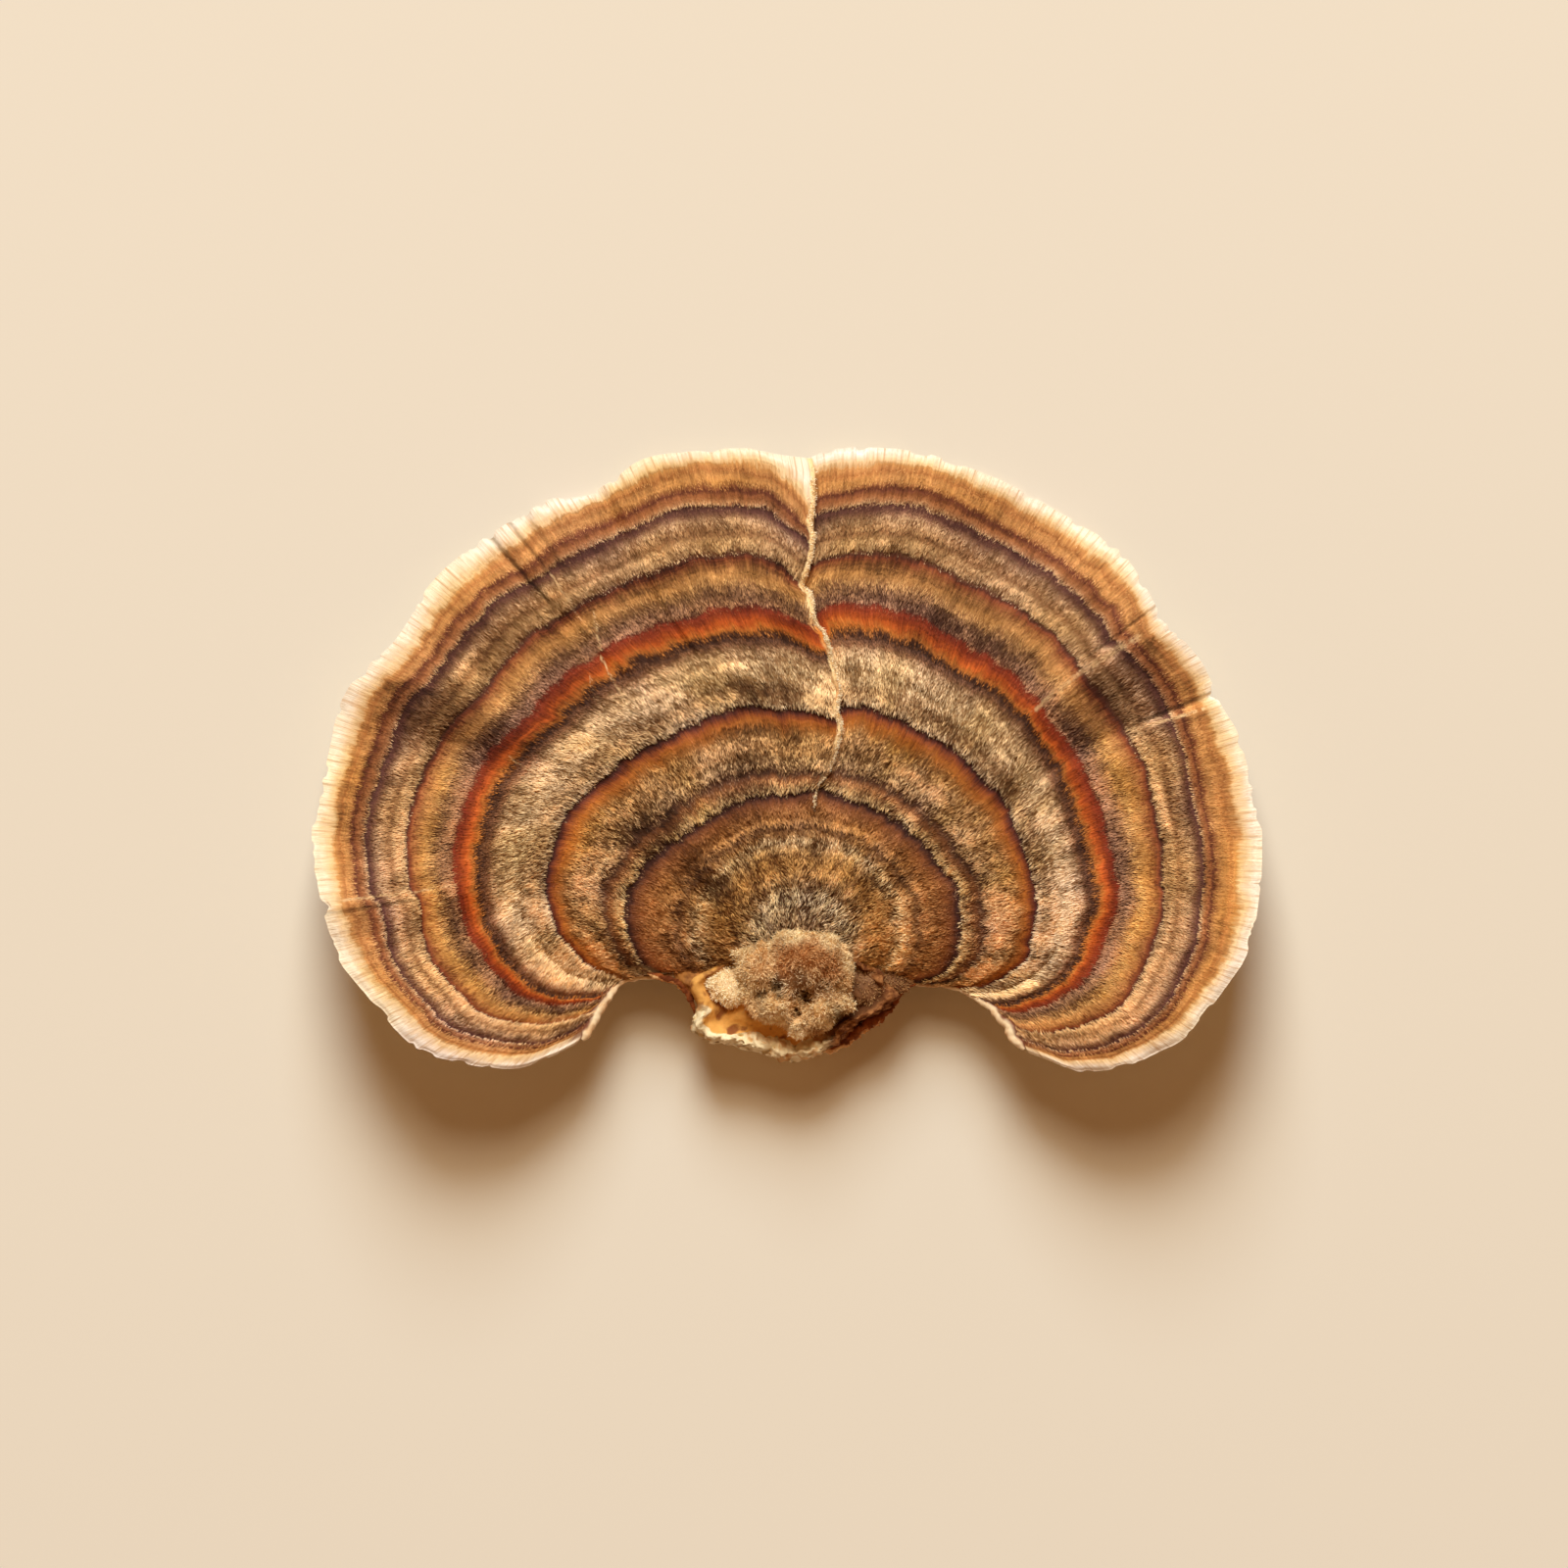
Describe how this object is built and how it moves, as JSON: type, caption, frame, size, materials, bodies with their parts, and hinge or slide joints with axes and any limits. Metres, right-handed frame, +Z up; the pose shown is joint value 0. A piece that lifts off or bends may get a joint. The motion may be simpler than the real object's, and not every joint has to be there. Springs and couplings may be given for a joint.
{
  "type": "turkey tail fungus",
  "caption": "Dried turkey tail bracket fungus: a thin fan-shaped cap of overlapping lobes with banded growth zones, a woolly knob and a stub cut flat.",
  "frame": {"origin": "on the surface that the bracket lies on, under the middle of its outline", "axes": "+X across both lobes, to the right when the stub is nearest, +Y from the stub to the far rim, +Z up from the pore surface to the hairy skin"},
  "size_m": [0.0622, 0.0408, 0.0092],
  "materials": {
    "zoned_cap": "tough dried fungus flesh, velvety in concentric brown, rust, grey and tan zones, with a cream margin"
  },
  "bodies": {
    "root": {"bracket_cap": "zoned_cap"}
  },
  "joints": []
}
